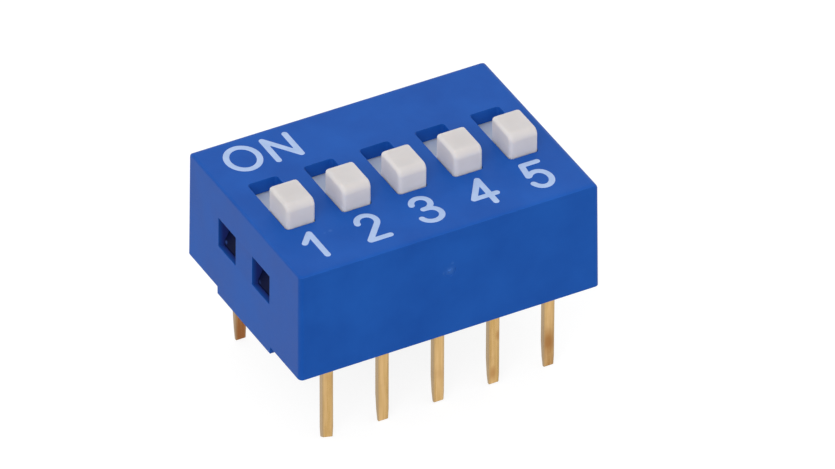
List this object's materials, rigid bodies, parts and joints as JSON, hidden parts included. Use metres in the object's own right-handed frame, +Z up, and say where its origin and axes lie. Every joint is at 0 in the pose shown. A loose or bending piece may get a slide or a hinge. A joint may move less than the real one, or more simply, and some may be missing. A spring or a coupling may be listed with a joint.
{
  "type": "dip switch",
  "caption": "Blue through-hole DIP switch with a row of white raised slides along its top and gold-plated pins below.",
  "frame": {"origin": "centre of the pin pattern on the board's surface, where the standoffs rest", "axes": "+X along the row of switches from position 1, +Y from the OFF side to the ON side, +Z up, away from the board"},
  "size_m": [0.0138, 0.0098, 0.0104],
  "materials": {
    "cover": "satin moulded blue plastic",
    "base": "matt moulded black plastic",
    "slide": "smooth moulded white plastic",
    "contact": "gold-plated copper alloy spring strip",
    "terminal": "gold-plated brass strip, slightly dull"
  },
  "bodies": {
    "housing": {"cover": "cover", "base": "base", "front_terminal_1": "terminal", "front_terminal_2": "terminal", "front_terminal_3": "terminal", "front_terminal_4": "terminal", "front_terminal_5": "terminal", "rear_terminal_1": "terminal", "rear_terminal_2": "terminal", "rear_terminal_3": "terminal", "rear_terminal_4": "terminal", "rear_terminal_5": "terminal"},
    "switch_1": {"slide_1": "slide", "contact_1": "contact"},
    "switch_2": {"slide_2": "slide", "contact_2": "contact"},
    "switch_3": {"slide_3": "slide", "contact_3": "contact"},
    "switch_4": {"slide_4": "slide", "contact_4": "contact"},
    "switch_5": {"slide_5": "slide", "contact_5": "contact"}
  },
  "joints": [
    {"name": "slide_1_travel", "type": "slide", "parent": "housing", "child": "switch_1", "axis": [0, 1, 0], "range_m": [0, 0.00177]},
    {"name": "slide_2_travel", "type": "slide", "parent": "housing", "child": "switch_2", "axis": [0, 1, 0], "range_m": [0, 0.00177]},
    {"name": "slide_3_travel", "type": "slide", "parent": "housing", "child": "switch_3", "axis": [0, 1, 0], "range_m": [0, 0.00177]},
    {"name": "slide_4_travel", "type": "slide", "parent": "housing", "child": "switch_4", "axis": [0, 1, 0], "range_m": [0, 0.00177]},
    {"name": "slide_5_travel", "type": "slide", "parent": "housing", "child": "switch_5", "axis": [0, 1, 0], "range_m": [0, 0.00177]}
  ]
}
